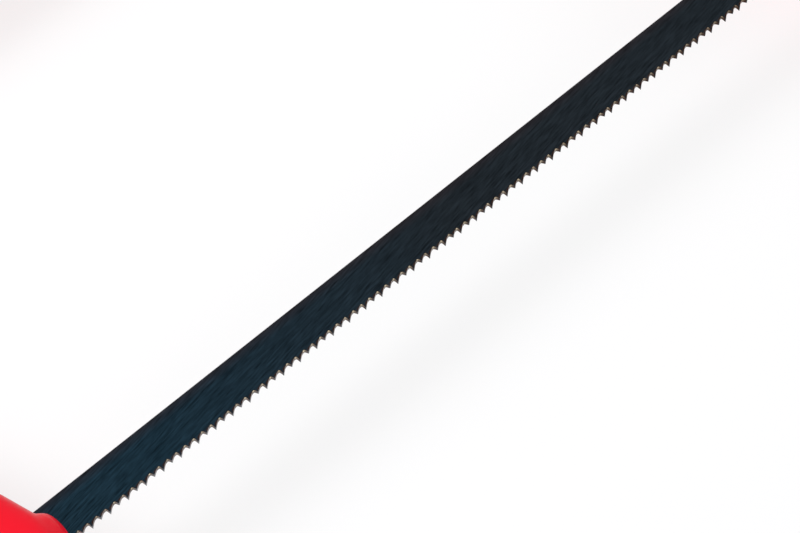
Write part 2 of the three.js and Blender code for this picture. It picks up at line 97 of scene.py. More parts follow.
class BladeSettings(bpy.types.PropertyGroup):
    """The pinned blade and its teeth."""

    width: length("Width", "From the spine to the tooth tips", 6.35)
    thick: length("Thickness", "Of the strip", 0.65)
    end: length("End", "Strip left beyond each pin", 2)
    pin_span: length("Pin span", "Between the centres of the two cross pins", 146)
    pitch: length("Tooth pitch", "From tip to tip, 18 teeth to the inch", 25.4 / 18)
    tooth_depth: length("Tooth depth", "From tip to gullet", 0.64)
    tooth_set: length("Set", "How far each tip leans out of the strip's plane", 0.3)
    first_tip: length("First tip", "From the rear pin to the first tooth tip", 8)
    last_tip: length("Last tip", "From the last tip to the front pin, at least", 8)
    face_run: length("Face run", "Along the blade, over a tooth's steep face", 0.18)
    back_run: length("Back run", "Along the blade, over a tooth's sloping back", 0.8)
    softness: FloatProperty(
        name="Softness", description="How tightly a tooth's back, gullet and face meet", default=7, min=1
    )
    # Glint: half length of a painted highlight, a near-white spot of ground steel where light glints at the
    # root of each steep face.
    glint: length("Glint", "Half length of the bright spot at the root of each steep face", 0.14)
    bend_height: length("Bend height", "Strip above the gullets that bends with the set teeth", 0.12)
    spine_round: length("Spine rounding", "Softening of the spine's two edges", 0.08)
    stations: IntProperty(name="Stations", description="Cross-sections to a tooth", default=20, min=8)
    # Near and far colours: the blued skin with a painted reflection, teal beside the handle and near black
    # towards the front.
    near_colour: colour("Near colour", "Blued skin beside the handle", "#192b36")
    near_length: length("Near length", "Of the blade's rear end that has only the near colour", 30)
    far_colour: colour("Far colour", "Blued skin towards the front", "#1e2429")
    far_length: length("Far length", "Of the blade's front end that has only the far colour", 70)
    # Spine colour and band: a painted sheen, a purple-grey tint where light catches the spine's rounded edge.
    spine_sheen_colour: colour("Spine colour", "Browner skin along the spine", "#2a2427")
    spine_sheen_band: length("Spine band", "Width over which the spine's colour fades in", 1.5)
    line_slant: angle("Line slant", "Of the rolling lines to the blade", 9)
    line_length: length("Line length", "Of the rolling lines", 2.6)
    line_width: length("Line width", "Of the rolling lines", 0.13)
    # Ground colour: the near-white straw of the painted highlight, seen only in the glint spots.
    ground_glint_colour: colour("Ground colour", "Bare ground steel of the teeth, straw-tinted", "#fff0cf")
    scale_colour: colour("Scale colour", "Brown scale left along the ground edge", "#3a2216")


class BowSettings(bpy.types.PropertyGroup):
    """The moulded bow."""

    depth: length("Depth", "Of the bar and arms, in the blade's plane", 18)
    thick: length("Thickness", "Of the bar and arms, across the blade's plane", 14)
    section_power: FloatProperty(
        name="Section power", description="Squareness of the rounded section", default=4.2, min=2
    )
    lean: angle("Lean", "Of each arm, outwards", 17.1)
    throat: length("Throat", "From the tooth tips to the back bar", 76)
    corner: length("Corner radius", "On the bar's centre line", 24)
    foot: length("Foot", "How far the arms reach below the blade's axis", 11)
    rear_arm: length("Rear arm", "From the rear pin to the arm's front, on the blade's axis", 10.9)
    front_arm: length("Front arm", "From the front arm's inner side to the front pin", 5.5)
    lip_height: length("Lip height", "Of the swelling around the blade's slit", 1)
    lip_width: length("Lip half width", "Along the arm", 4)
    lip_thick: length("Lip half thickness", "Across the blade's plane", 5.6)
    lip_drop: length("Lip drop", "From the blade's axis to the swelling's middle, towards the teeth", 2.3)
    collar_start: length("Collar start", "Behind the rear pin", 3)
    collar_end: length("Collar end", "Behind the rear pin", 16)
    collar_root: length("Collar root radius", "Where it leaves the arm", 8.2)
    collar_radius: length("Collar radius", "Where it meets the handle", 12.2)
    boss_straight: length("Boss straight", "Plain length ahead of the front pin", 13)
    boss_dome: length("Boss dome", "Length of its rounded end", 8)
    boss_radius: length("Boss radius", "Half its height", 8.4)
    bore: length("Bore radius", "Room for the sliding rod and the anchor", 4.3)
    tube_bore: length("Tube bore radius", "Room for the guide tube", 5.8)
    tube_front: length("Tube front", "End of the tube's bore, ahead of the rear pin", 5.7)
    nose_wall: length("Nose wall", "Inner face of the wall that the blade comes out of", 9)
    slit: length("Slit half width", "Room beside the blade", 0.72)
    slit_top: length("Slit top", "Room above the spine", 0.15)
    pocket: length("Pocket half width", "Room beside the cross pins", 2.8)
    gap: length("Cap gap", "Around the snap caps", 0.15)
    red: colour("Red", "Glossy moulded polyamide", "#ec1027")


class HandleSettings(bpy.types.PropertyGroup):
    """The handle and its soft grip."""

    flatten: FloatProperty(
        name="Flatten", description="Thickness over height", default=0.82, min=0.3, max=1
    )
    body_length: length("Length", "Of the handle's hard body", 101)
    seat_gap: length("Seat gap", "Between the bow's collar and the handle", 0.3)
    front_radius: length("Front radius", "Where it meets the collar", 12.2)
    guard_radius: length("Guard radius", "Half height of the guard and of the end flare", 16)
    guard_rise: length("Guard rise", "From the front face to the guard's crest", 5)
    guard_crest: length("Guard crest", "Width of the crest", 2)
    guard_fall: length("Guard fall", "From the crest to the neck", 8)
    neck_radius: length("Neck radius", "At the grip's ends", 12.6)
    recess_radius: length("Recess radius", "Under the grip", 10.4)
    rim: length("Rim", "Hard rim before each end of the grip", 1)
    flare_rise: length("Flare rise", "From the grip to the flare", 9)
    flare_end: length("Flare end", "From the flare to the end face", 6)
    end_radius: length("End radius", "Of the end face", 12.4)
    swell: length("Swell", "Of the grip's middle", 2.6)
    ribs: IntProperty(name="Ribs", description="Rings along the grip", default=9, min=1)
    rib_depth: length("Rib depth", "Of the grooves between them", 0.7)
    grip_gap: length("Grip gap", "Hairline at the grip's ends", 0.12)
    counterbore: length("Counterbore radius", "For the thrust washer", 9.1)
    counterbore_depth: length("Counterbore depth", "For the thrust washer", 4)
    grip_red: colour("Grip red", "Soft elastomer", "#cf1422")


class KnobSettings(bpy.types.PropertyGroup):
    """The tension knob and its end plug."""

    radius: length("Radius", "Mean radius of the lobes", 11.4)
    lobes: IntProperty(name="Lobes", description="Around the knob", default=8, min=3)
    lobe_height: length("Lobe height", "From the mean radius to a crest", 0.9)
    body_length: length("Length", "Of the lobed part", 22)
    rounding: length("Rounding", "Of both ends", 3)
    hub_radius: length("Hub radius", "Of the boss that bears on the washer", 8)
    hub_length: length("Hub length", "Of that boss", 0.6)
    bore: length("Bore radius", "For the rod", 2.8)
    plug_radius: length("Plug radius", "Of the end plug", 6.4)
    plug_fit: length("Plug fit", "Around the plug", 0.15)
    plug_depth: length("Plug depth", "Of its seat", 6.6)
    plug_proud: length("Plug proud", "How far it stands out of the knob", 0.6)
    seat_gap: length("Seat gap", "Between the handle and the knob", 0.3)


class StageSettings(bpy.types.PropertyGroup):
    """The photograph's view and light."""

    focal_pixels: FloatProperty(
        name="Focal length", description="In pixels of an 800 wide picture", default=2200, min=100
    )
    elevation: angle("Elevation", "Of the camera above the blade's plane", 60.265)
    azimuth: angle("Azimuth", "Between the blade and the picture's right", 42.597)
    camera_x: length("Camera along", "From the rear pin, along the blade", -28.89)
    camera_y: length("Camera across", "From the blade's axis, towards the back bar", -106.525)
    camera_z: length("Camera above", "From the blade's plane", 249.5)
    table: length("Table", "Width of the table", 3000)
    key_distance: length("Key distance", "From the blade to the key light", 900)
    key_size: length("Key size", "Side of the key light", 360)
    key_elevation: angle("Key elevation", "Of the key light", 50)
    aim: length("Aim", "Place on the blade that the lights face, from the rear pin", 60)
    key_power: FloatProperty(name="Key power", description="Of the key light", default=6.3, unit="POWER")
    fill_power: FloatProperty(name="Fill power", description="Of the fill light", default=2, unit="POWER")
    sky: FloatProperty(name="Sky", description="Strength of the light from all round", default=0.51, min=0)
    table_glow: FloatProperty(
        name="Table glow", description="Share of plain white in the table as the camera sees it",
        default=0.77, min=0, max=1
    )


# Saw axes

def saw_axes():
    """Rows that turn the saw's axes into the row's, and their origin.

    The saw's x runs along the blade from the rear pin, y towards the back bar and z across the blade's plane.
    """
    low, high = (np.array(corner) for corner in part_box("rear_blade_pin"))
    mounts = {mount["name"]: mount for mount in frame["record"]["mounts"]}
    along = np.array([1.0, 0.0, 0.0])
    across = np.array(mounts["bar_side_up"]["axis"])
    towards_bar = np.cross(across, along)
    return np.stack([along, towards_bar, across]), (low + high) / 2


SAW_TURN, SAW_ORIGIN = saw_axes()


def in_row(points):
    """Places points given along the saw's axes in the row."""
    return np.asarray(points) @ SAW_TURN + SAW_ORIGIN


# Surfaces as arrays

BORE_SIDES = 64
STUB_SIDES = 96
HANDLE_SIDES = 128
KNOB_SIDES = 192
PROFILE_STEPS = 24
FINE_STEPS = 2001


def grid_faces(rows, columns, wrap_rows=False, wrap_columns=False):
    """Quads between neighbouring lines of a grid; a wrapped direction joins its last line to its first."""
    index = np.arange(rows * columns).reshape(rows, columns)
    if wrap_rows:
        index = np.vstack([index, index[:1]])
    if wrap_columns:
        index = np.hstack([index, index[:, :1]])
    corners = [index[:-1, :-1], index[1:, :-1], index[1:, 1:], index[:-1, 1:]]
    return np.stack(corners, axis=-1).reshape(-1, 4)


def turned(stations, radii, sides, flatten=1.0, wrap=False):
    """Carries a profile round the x axis: (x, r cos a, f r sin a), where f flattens the round."""
    turn = np.linspace(0, 2 * np.pi, sides, endpoint=False)
    x = np.broadcast_to(np.asarray(stations)[:, None], (len(stations), sides))
    radius = np.asarray(radii)[:, None]
    share = np.broadcast_to(np.asarray(flatten, dtype=float), (len(stations),))[:, None]
    points = np.stack([x, radius * np.cos(turn), share * radius * np.sin(turn)], axis=-1)
    return points.reshape(-1, 3), grid_faces(len(stations), sides, wrap_rows=wrap, wrap_columns=True)


def box(low, high):
    """The eight corners of a box and its six faces."""
    points = np.stack(np.meshgrid(*zip(low, high), indexing="ij"), axis=-1).reshape(-1, 3)
    faces = np.array([[0, 1, 3, 2], [4, 6, 7, 5], [0, 4, 5, 1], [2, 3, 7, 6], [0, 2, 6, 4], [1, 5, 7, 3]])
    return points, faces


def eased(start, end, steps):
    """A rise or fall with level ends: start + (end - start) (1 - cos pi t) / 2."""
    share = np.linspace(0, 1, steps)
    return start + (end - start) * (1 - np.cos(np.pi * share)) / 2


def super_round(power, half, count):
    """Points of the superellipse |a / A| ** p + |b / B| ** p = 1, evenly spaced along its edge."""
    turn = np.linspace(0, np.pi / 2, FINE_STEPS)
    fine = np.stack([np.cos(turn), np.sin(turn)], axis=-1).clip(0, 1) ** (2 / power) * half
    run = np.concatenate([[0], np.cumsum(np.linalg.norm(np.diff(fine, axis=0), axis=1))])
    even = np.linspace(0, run[-1], count // 4 + 1)
    quarter = np.stack([np.interp(even, run, fine[:, 0]), np.interp(even, run, fine[:, 1])], axis=-1)
    onward, back = quarter[:-1], quarter[:0:-1]
    return np.concatenate([onward, back * (-1, 1), -onward, back * (1, -1)])


# Meshes

WELD = 0.002 * MM
SHARP = math.radians(35)
BLADE_SHARP = math.radians(30)


def piece(name, *surfaces):
    """Joins surfaces into one closed mesh in the row's frame, with outward faces and smooth shading."""
    mesh = bpy.data.meshes.new(name)
    counts = np.cumsum([0] + [len(points) for points, _ in surfaces])
    vertices = in_row(np.concatenate([points for points, _ in surfaces]))
    faces = [face for start, (_, quads) in zip(counts, surfaces) for face in (quads + start).tolist()]
    mesh.from_pydata(vertices.tolist(), [], faces)
    work = bmesh.new()
    work.from_mesh(mesh)
    bmesh.ops.remove_doubles(work, verts=work.verts, dist=WELD)
    bmesh.ops.holes_fill(work, edges=work.edges, sides=0)
    bmesh.ops.recalc_face_normals(work, faces=work.faces)
    work.to_mesh(mesh)
    work.free()
    item = bpy.data.objects.new(name, mesh)
    bpy.context.scene.collection.objects.link(item)
    smooth(item)
    return item


def smooth(item, sharp=SHARP):
    """Shades a mesh smooth, apart from edges sharper than an angle."""
    item.data.polygons.foreach_set("use_smooth", np.ones(len(item.data.polygons), dtype=bool))
    item.data.set_sharp_from_angle(angle=sharp)


def combine(item, tools, operation):
    """Joins, cuts or keeps what is common, one tool after the other, and removes the tools."""
    for tool in tools:
        step = item.modifiers.new("combine", "BOOLEAN")
        step.operation = operation
        step.solver = "MANIFOLD"
        step.object = tool
        bpy.context.view_layer.update()
        made = bpy.data.meshes.new_from_object(item.evaluated_get(bpy.context.evaluated_depsgraph_get()))
        item.modifiers.clear()
        item.data = made
        bpy.data.objects.remove(tool)
    smooth(item)


def twin(item, name):
    """A copy of a piece with its own mesh."""
    other = item.copy()
    other.data = item.data.copy()
    other.name = name
    bpy.context.scene.collection.objects.link(other)
    return other


def dress(item, body, node, material):
    """Gives a piece its finish and lets it stand for a solid on a body."""
    item.data.materials.clear()
    item.data.materials.append(material)
    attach(item, body)
    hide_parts(node)


# Materials

def add_node(tree, kind, values=None, **settings):
    """Adds a node, sets its settings, and sets or links its inputs by name or number."""
    new = tree.nodes.new(kind)
    for key, value in settings.items():
        setattr(new, key, value)
    for key, value in (values or {}).items():
        if isinstance(value, bpy.types.NodeSocket):
            tree.links.new(value, new.inputs[key])
        else:
            new.inputs[key].default_value = value
    return new


def mix(tree, factor, first, second, **settings):
    """Mixes two colours by a factor."""
    values = {"Factor": factor, 6: first, 7: second}
    return add_node(tree, "ShaderNodeMix", values, data_type="RGBA", **settings).outputs[2]


def ranged(tree, value, start, end, low=0.0, high=1.0):
    """Turns values from low to high into values from start to end."""
    values = {"Value": value, "From Min": low, "From Max": high, "To Min": start, "To Max": end}
    return add_node(tree, "ShaderNodeMapRange", values).outputs["Result"]


def noise(tree, place, scale, detail, roughness=0.5):
    """Cloudy noise, with features about one over the scale across."""
    values = {"Vector": place, "Scale": scale, "Detail": detail, "Roughness": roughness}
    return add_node(tree, "ShaderNodeTexNoise", values).outputs["Fac"]


def link(tree, shader, **sockets):
    """Links sockets to a shader's inputs."""
    for name, socket in sockets.items():
        tree.links.new(socket, shader.inputs[name.replace("_", " ")])


def seen(tree):
    """One for rays from the camera or by way of a shiny or clear surface, and nothing for all others."""
    path = add_node(tree, "ShaderNodeLightPath").outputs
    direct = {0: path["Is Camera Ray"], 1: path["Is Glossy Ray"]}
    either = add_node(tree, "ShaderNodeMath", direct, operation="MAXIMUM").outputs[0]
    every = {0: either, 1: path["Is Transmission Ray"]}
    return add_node(tree, "ShaderNodeMath", every, operation="MAXIMUM").outputs[0]


def start_material(name, **constants):
    """A new material with only a Principled shader, its constant sockets and Object coordinates."""
    material = bpy.data.materials.new(name)
    material.use_nodes = True
    tree = material.node_tree
    tree.nodes.clear()
    shader = add_node(tree, "ShaderNodeBsdfPrincipled")
    add_node(tree, "ShaderNodeOutputMaterial", {"Surface": shader.outputs["BSDF"]})
    for socket, value in constants.items():
        shader.inputs[socket.replace("_", " ")].default_value = value
    place = add_node(tree, "ShaderNodeTexCoord")
    return material, tree, shader, place.outputs["Object"]


def rgba(values, share=1.0):
    """A colour with its alpha, darkened or lightened by a share."""
    return tuple(min(1.0, part * share) for part in values) + (1.0,)


def per_mm(size):
    """Scale of a pattern whose features are so many millimetres across."""
    return 1 / (size * MM)


def red_polyamide(settings):
    """Glossy glass-filled polyamide, injection moulded: an even red with a faint orange peel."""
    material, tree, shader, place = start_material(
        "moulded_red_polyamide", Specular_IOR_Level=0.16, IOR=1.5, Metallic=0.0
    )
    flow = noise(tree, place, per_mm(22), 3.0)
    peel = noise(tree, place, per_mm(1.4), 2.0)
    bump = add_node(tree, "ShaderNodeBump", {"Height": peel, "Strength": 0.12, "Distance": 0.05 * MM})
    link(
        tree, shader,
        Base_Color=mix(tree, flow, rgba(settings.red, 0.94), rgba(settings.red, 1.03)),
        Roughness=ranged(tree, flow, 0.3, 0.4),
        Normal=bump.outputs["Normal"],
    )
    return material


def soft_elastomer(settings):
    """Thermoplastic elastomer over the handle: a satin, slightly deeper red with a fine pebble."""
    material, tree, shader, place = start_material(
        "soft_red_elastomer", Specular_IOR_Level=0.25, IOR=1.5, Metallic=0.0
    )
    patch = noise(tree, place, per_mm(14), 3.0)
    pebble = add_node(tree, "ShaderNodeTexVoronoi", {"Vector": place, "Scale": per_mm(0.7)})
    grip = {"Height": pebble.outputs["Distance"], "Strength": 0.25, "Distance": 0.08 * MM}
    bump = add_node(tree, "ShaderNodeBump", grip)
    link(
        tree, shader,
        Base_Color=mix(tree, patch, rgba(settings.grip_red, 0.9), rgba(settings.grip_red, 1.06)),
        Roughness=ranged(tree, patch, 0.52, 0.66),
        Normal=bump.outputs["Normal"],
    )
    return material


def blued_strip(settings):
    """Cold-rolled carbon steel, blued in a furnace: teal-black with fine rolling lines.

    Its colour attribute is 0 on the blued skin, 0.5 on brown scale and 1 on bright ground steel, which shows
    only in spots of painted highlight.
    """
    material, tree, shader, place = start_material("blued_strip_steel", Metallic=1.0)
    low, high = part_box("blade")
    axes = add_node(tree, "ShaderNodeSeparateXYZ", {"Vector": place}).outputs
    # Painted reflection: the skin shifts from teal beside the handle to near black towards the front.
    reflection_shift = ranged(tree, axes["X"], 0, 1, low[0] + settings.near_length, high[0] - settings.far_length)
    skin = mix(tree, reflection_shift, rgba(settings.near_colour), rgba(settings.far_colour))
    # Painted sheen: a purple-grey tint fades in along the spine, where light catches its rounded edge.
    spine = ranged(tree, axes["Y"], 0, 0.7, high[1] - settings.spine_sheen_band, high[1])
    with_spine_sheen = mix(tree, spine, skin, rgba(settings.spine_sheen_colour))
    slanted = {
        "Vector": place,
        "Rotation": (0, 0, settings.line_slant),
        "Scale": (settings.line_length, settings.line_width, settings.line_width),
    }
    drawn_out = add_node(tree, "ShaderNodeMapping", slanted, vector_type="TEXTURE")
    lines = noise(tree, drawn_out.outputs["Vector"], 1.0, 5.0, 0.65)
    lined = mix(tree, 1.0, with_spine_sheen, ranged(tree, lines, 0.25, 1.9, 0.3, 0.7), blend_type="MULTIPLY")
    # Brown scale along the edge, then a painted highlight: near-white ground steel in the glint spots.
    scale_and_glint = add_node(tree, "ShaderNodeAttribute", attribute_name="scale_and_glint").outputs["Fac"]
    edge = mix(tree, ranged(tree, scale_and_glint, 0, 1, 0, 0.5), lined, rgba(settings.scale_colour))
    grain = ranged(tree, noise(tree, place, per_mm(0.35), 2.0), 0.35, 1, 0.36, 0.52)
    base = mix(tree, ranged(tree, scale_and_glint, 0, grain, 0.5, 1), edge, rgba(settings.ground_glint_colour))
    bump = add_node(tree, "ShaderNodeBump", {"Height": lines, "Strength": 0.15, "Distance": 0.01 * MM})
    rough = ranged(tree, scale_and_glint, 0.2, 0.34)
    link(tree, shader, Base_Color=base, Roughness=rough, Normal=bump.outputs["Normal"])
    return material


def turned_metal(name, code, roughness):
    """Bar turned or drawn along the saw's axis: fine rings that break up its shine."""
    material, tree, shader, place = start_material(name, Metallic=1.0)
    ringed = {"Vector": place, "Scale": (per_mm(0.4), per_mm(6), per_mm(6))}
    rings = add_node(tree, "ShaderNodeMapping", ringed)
    marks = noise(tree, rings.outputs["Vector"], 1.0, 3.0)
    base = linear(code)
    link(
        tree, shader,
        Base_Color=mix(tree, marks, rgba(base, 0.82), rgba(base, 1.1)),
        Roughness=ranged(tree, marks, roughness - 0.08, roughness + 0.1),
    )
    return material


def plain_nylon():
    """Uncoloured nylon, machined: milky with a dull skin."""
    material, tree, shader, place = start_material("natural_nylon", Metallic=0.0)
    cloud = noise(tree, place, per_mm(5), 2.0)
    link(
        tree, shader,
        Base_Color=mix(tree, cloud, rgba(linear("#cfc9b8")), rgba(linear("#e0dccd"))),
        Roughness=ranged(tree, cloud, 0.5, 0.65),
    )
    return material


# Blade

SIDE_LINES = np.array([0.45, 0.1, -0.25])  # along the flat of a side, as shares of the half width
TOOTH_LINES = np.array([0.25, 0.5, 0.75, 0.92, 1.0])  # as shares of the way from the bend line to the edge
SCALE_LINES = np.array([0.5, 0.8, 1, 1, 1, 1])  # brown scale, from the upper side over the edge
# The glint lines carry a painted highlight of bright steel.
GLINT_LINES = np.array([0.6, 0.9, 1, 1, 0.5, 0])  # bright steel on the same lines
SCALE_COVER = 2.5  # over one, so that only the tips are free of scale
GLINT_PEAK = 1.25  # over one, so that the middle of the blade is evenly bright
GLINT_SPREAD = 0.62  # share of the toothed length over which a glint would fade by one
SET_STEEPNESS = 6  # of the change from one side to the other, in a gullet
SET_POWER = 1.3
STATION_POWER = 1.6
END_STATIONS = 8


def toothed_span(settings):
    """Where the toothed part starts and ends along x, and how many whole pitches lie between its tips."""
    count = math.floor((settings.pin_span - settings.first_tip - settings.last_tip) / settings.pitch)
    return settings.first_tip - settings.pitch, settings.first_tip + count * settings.pitch, count


def tooth_rise(settings, x):
    """Height of the toothed edge above the tip line.

    Ahead of each tip the edge is the softened least of three lines: the tooth's own back f / back_run, the
    gullet's depth 1 and the next tooth's face (pitch - f) / face_run, where f is the distance from the tip.
    """
    start, last, _ = toothed_span(settings)
    ahead = np.mod(x - settings.first_tip, settings.pitch)
    back, face = ahead / settings.back_run, (settings.pitch - ahead) / settings.face_run
    lines = np.stack([back, np.ones_like(x), face])
    least = -np.log(np.exp(-settings.softness * lines).sum(axis=0)) / settings.softness
    return np.where((x > start) & (x < last), settings.tooth_depth * np.clip(least, 0, None), 0)


def blade_stations(settings):
    """Places of the sections along x: a few at each end, and over each tooth closer towards the next tip."""
    start, last, count = toothed_span(settings)
    tips = start + np.arange(count + 1) * settings.pitch
    inside = 1 - np.linspace(1, 0, settings.stations, endpoint=False) ** STATION_POWER
    return np.concatenate([
        np.linspace(-settings.end, start, END_STATIONS, endpoint=False),
        (tips[:, None] + inside * settings.pitch).ravel(),
        np.linspace(last, settings.pin_span + settings.end, END_STATIONS),
    ])


def scale_and_glint_shares(settings, x, rise):
    """Shares of brown scale and of a painted highlight of bright steel along the edge.

    Scale covers all but the tips. A painted highlight exp(-(d / glint) ** 2), where d is the distance from
    the root of a steep face, is weaker towards both ends of the blade.
    """
    start, last, _ = toothed_span(settings)
    toothed = (x >= start) & (x <= last)
    scale = np.clip(SCALE_COVER * rise / rise.max(), 0, 1)
    root = settings.pitch - settings.face_run - settings.glint
    away = np.mod(x - settings.first_tip, settings.pitch) - root
    off_middle = np.abs(x - (settings.first_tip + last) / 2) / (last - settings.first_tip)
    weaker = np.minimum(1, GLINT_PEAK - off_middle / GLINT_SPREAD)
    glint = weaker * np.exp(-(away / settings.glint) ** 2)
    return np.where(toothed, scale, 0), np.where(toothed, glint, 0)


def blade_surface(settings):
    """The strip as a closed section carried along x, and its shares of brown scale and painted highlight.

    A section runs down one side from the spine to the edge, across the edge, up the other side and over the
    spine. Below the bend line a point leans out of the plane by set s ** SET_POWER, where s is 0 at that line
    and 1 at the tips.
    """
    half, half_width = settings.thick / 2, settings.width / 2
    _, last, _ = toothed_span(settings)
    x = blade_stations(settings)
    rise = tooth_rise(settings, x)
    edge = rise - half_width
    bend = settings.tooth_depth + settings.bend_height - half_width
    flat = np.concatenate([[half_width - settings.spine_round], half_width * SIDE_LINES, [bend]])
    sides = np.broadcast_to(flat, (len(x), len(flat)))
    down = np.concatenate([sides, bend + (edge - bend)[:, None] * TOOTH_LINES], axis=1)
    spine = np.full((len(x), 1), half_width)
    y = np.concatenate([down, edge[:, None], down[:, ::-1], spine, spine], axis=1)
    rows = down.shape[1]
    over = half - settings.spine_round
    z = np.concatenate([np.full(rows, half), [0], np.full(rows, -half), [-over, over]])
    gullet = (settings.pitch - settings.face_run - settings.back_run) / 2 + settings.face_run
    turn = np.pi * (x - settings.first_tip + gullet) / settings.pitch
    lean = settings.tooth_set * np.tanh(SET_STEEPNESS * np.sin(turn))
    lean = np.where((x > settings.first_tip - gullet) & (x <= last), lean, 0)
    depth = np.clip((bend - y) / (bend + half_width), 0, 1)
    z = z + lean[:, None] * depth ** SET_POWER
    points = np.stack([np.broadcast_to(x[:, None], y.shape), y, z], axis=-1)
    # Brown scale, and a painted highlight of bright steel at the root of each steep face.
    scale, glint = scale_and_glint_shares(settings, x, rise)
    shares = (scale[:, None] * SCALE_LINES + glint[:, None] * GLINT_LINES) / 2
    past_edge = rows + 2
    scale_and_glint = np.zeros(y.shape)
    scale_and_glint[:, past_edge - len(SCALE_LINES):past_edge] = shares
    return points, scale_and_glint


def make_blade(settings):
    """The blade with its attribute of brown scale and painted highlight, closed at both ends."""
    points, scale_and_glint = blade_surface(settings)
    rows, columns = scale_and_glint.shape
    mesh = bpy.data.meshes.new("ground_blade")
    quads = grid_faces(rows, columns, wrap_columns=True).tolist()
    first = list(range(columns))
    last = list(range((rows - 1) * columns, rows * columns))[::-1]
    mesh.from_pydata(in_row(points.reshape(-1, 3)).tolist(), [], quads + [first, last])
    mesh.attributes.new("scale_and_glint", "FLOAT", "POINT").data.foreach_set("value", scale_and_glint.ravel())
    work = bmesh.new()
    work.from_mesh(mesh)
    bmesh.ops.recalc_face_normals(work, faces=work.faces)
    work.to_mesh(mesh)
    work.free()
    item = bpy.data.objects.new("ground_blade", mesh)
    bpy.context.scene.collection.objects.link(item)
    smooth(item, BLADE_SHARP)
    return item


# Bow

LIP_SHARE = 0.2  # of an arm, from its foot, with close stations for the lip
LIP_STATIONS = 36
ARM_STATIONS = 16
ARC_STATIONS = 32
BAR_STATIONS = 24
SECTION_POINTS = 128
FOOT_STATIONS = 73


def bow_line(settings, blade):
    """Centre line of the bow with its direction: up the rear arm, round two arcs and down the front arm.

    The arms have close stations beside the blade, where the lips swell out of them.
    """
    lean = settings.lean
    half = settings.depth / 2
    bar = settings.throat - blade.width / 2 + half
    foot = half - settings.foot
    rear = settings.rear_arm - half / math.cos(lean)
    front = blade.pin_span - settings.front_arm + half / math.cos(lean)
    tangent = settings.corner * math.tan((math.pi / 2 + lean) / 2)
    rear_corner = np.array([rear - bar * math.tan(lean) + tangent, bar - settings.corner])
    front_corner = np.array([front + bar * math.tan(lean) - tangent, bar - settings.corner])
    turn = np.linspace(math.pi + lean, math.pi / 2, ARC_STATIONS)
    arc = settings.corner * np.stack([np.cos(turn), np.sin(turn)], axis=-1)
    rear_arc = rear_corner + arc
    front_arc = front_corner + arc[::-1] * (-1, 1)
    up = np.concatenate([
        np.linspace(0, LIP_SHARE, LIP_STATIONS, endpoint=False),
        np.linspace(LIP_SHARE, 1, ARM_STATIONS, endpoint=False),
    ])
    down = 1 - np.append(up, 1)[:0:-1]
    level = np.linspace(0, 1, BAR_STATIONS, endpoint=False)
    rear_foot = np.array([rear - foot * math.tan(lean), foot])
    front_foot = np.array([front + foot * math.tan(lean), foot])
    line = np.concatenate([
        rear_foot + up[:, None] * (rear_arc[0] - rear_foot),
        rear_arc[:-1],
        rear_arc[-1] + level[:, None] * (front_arc[0] - rear_arc[-1]),
        front_arc[:-1],
        front_arc[-1] + down[:, None] * (front_foot - front_arc[-1]),
        front_foot[None],
    ])
    heading = np.concatenate([
        np.full(len(up), math.pi / 2 + lean),
        turn[:-1] - math.pi / 2,
        np.zeros(len(level)),
        math.pi / 2 - turn[:0:-1],
        np.full(len(down) + 1, -math.pi / 2 - lean),
    ])
    return line, np.stack([np.cos(heading), np.sin(heading)], axis=-1)


def with_lips(points, settings, blade):
    """Swells the arms where the blade passes: height s s (3 - 2 s), s = 1 - w ** 4 - t ** 4.

    Here w and t are a point's shares of the lip's half width along the arm and of its half thickness.
    """
    cos, sin = math.cos(settings.lean), math.sin(settings.lean)
    front_x = blade.pin_span - settings.front_arm
    for arm_x, facing in ((settings.rear_arm, 1), (front_x, -1)):
        out = np.array([facing * cos, sin, 0])
        along = np.array([-facing * sin, cos, 0])
        away = points - np.array([arm_x, -settings.lip_drop, 0])
        share = 1 - (away @ along / settings.lip_width) ** 4 - (away[:, 2] / settings.lip_thick) ** 4
        share = np.where(np.abs(away @ out) < settings.depth / 4, share.clip(0), 0)
        points = points + (settings.lip_height * share ** 2 * (3 - 2 * share))[:, None] * out
    return points


def bow_surfaces(settings, blade):
    """A superellipse carried along the bow's centre line, and half of it turned about each end as a foot."""
    line, along = bow_line(settings, blade)
    across = np.stack([-along[:, 1], along[:, 0]], axis=-1)
    count = SECTION_POINTS
    section = super_round(settings.section_power, np.array([settings.depth, settings.thick]) / 2, count)
    plane = line[:, None] + across[:, None] * section[None, :, :1]
    height = np.broadcast_to(section[None, :, 1:], plane.shape[:2] + (1,))
    tube = np.concatenate([plane, height], axis=-1).reshape(-1, 3)
    surfaces = [(with_lips(tube, settings, blade), grid_faces(len(line), count, wrap_columns=True))]
    outer = np.concatenate([section[-(count // 4):], section[:count // 4 + 1]])
    turn = np.linspace(0, np.pi, FOOT_STATIONS)
    for place, direction in ((0, -along[0]), (-1, along[-1])):
        spoke = np.cos(turn)[:, None] * across[place] + np.sin(turn)[:, None] * direction
        plane = line[place] + spoke[:, None] * outer[None, :, :1]
        height = np.broadcast_to(outer[None, :, 1:], plane.shape[:2] + (1,))
        foot = np.concatenate([plane, height], axis=-1).reshape(-1, 3)
        surfaces.append((with_lips(foot, settings, blade), grid_faces(len(turn), len(outer))))
    return surfaces


def collar_surface(settings, handle):
    """A trumpet from the rear arm to the handle: r = root + (end - root) t ** 2, flattened like it."""
    share = np.linspace(0, 1, PROFILE_STEPS)
    x = -settings.collar_start - (settings.collar_end - settings.collar_start) * share
    radius = settings.collar_root + (settings.collar_radius - settings.collar_root) * share ** 2
    soft = 0.35 * MM
    x = np.concatenate([[x[0]], x[:-1], [x[-1] + soft, x[-1], x[-1]]])
    radius = np.concatenate([[0], radius[:-1], [radius[-1], radius[-1] - soft, 0]])
    return turned(x, radius, STUB_SIDES, handle.flatten)


